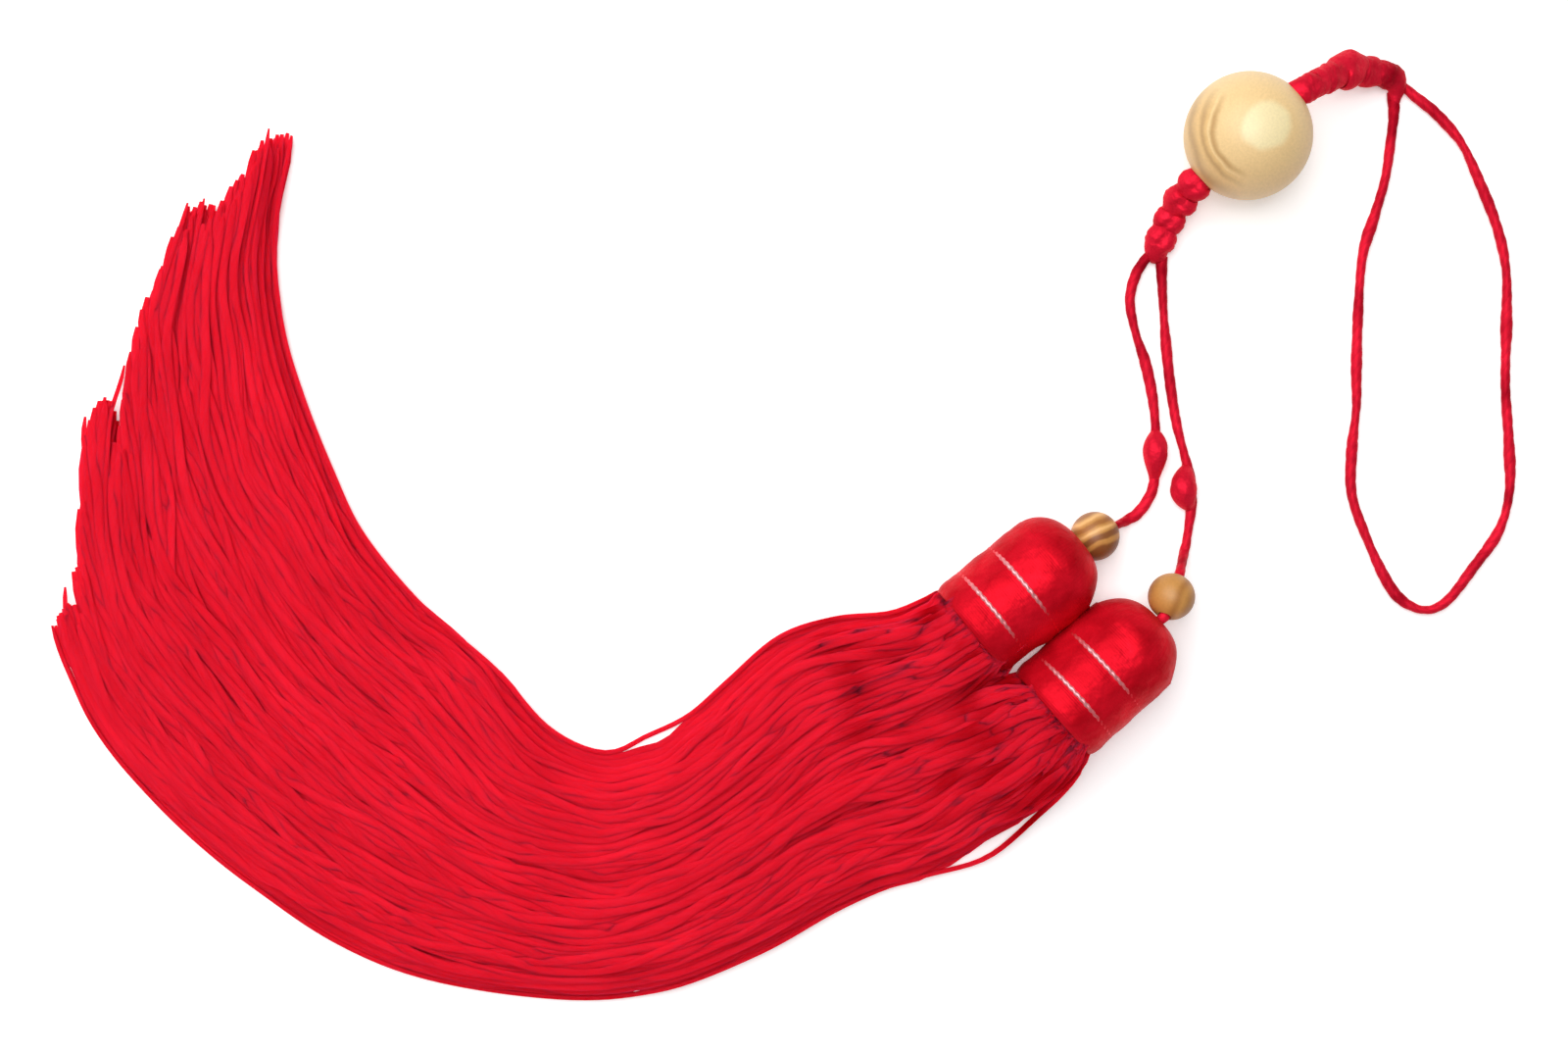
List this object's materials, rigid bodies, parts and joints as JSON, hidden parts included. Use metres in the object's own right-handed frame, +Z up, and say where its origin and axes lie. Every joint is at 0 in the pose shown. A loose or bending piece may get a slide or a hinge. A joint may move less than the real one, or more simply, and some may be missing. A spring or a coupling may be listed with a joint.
{
  "type": "double silk tassel",
  "caption": "Double silk tassel laid flat: hanging loop, knotted cord, wooden ball, two drop cords with beads, domed satin heads and a long curved fringe.",
  "frame": {"origin": "on the table, under the middle of the box round everything but the free cords", "axes": "+X along the length from the fringe's tips to the ball, +Z up from the table"},
  "size_m": [0.2539, 0.1629, 0.0214],
  "materials": {
    "silk_yarn": "soft sheen",
    "satin_winding": "satin",
    "silk_cord": "twisted, soft sheen",
    "silver_thread": "metallic thread",
    "pale_wood": "turned and polished",
    "striped_wood": "turned, lacquered"
  },
  "bodies": {
    "root": {"head_cap_left": "satin_winding", "head_cap_right": "satin_winding", "fringe_left": "silk_yarn", "fringe_right": "silk_yarn", "metal_thread_left_low": "silver_thread", "metal_thread_left_high": "silver_thread", "metal_thread_right_low": "silver_thread", "metal_thread_right_high": "silver_thread", "bead_left": "striped_wood", "bead_right": "striped_wood", "ball": "pale_wood", "knots_lower": "silk_cord", "knots_upper": "silk_cord", "hanging_loop": "silk_cord", "drop_cord_left": "silk_cord", "drop_cord_right": "silk_cord"}
  },
  "joints": []
}
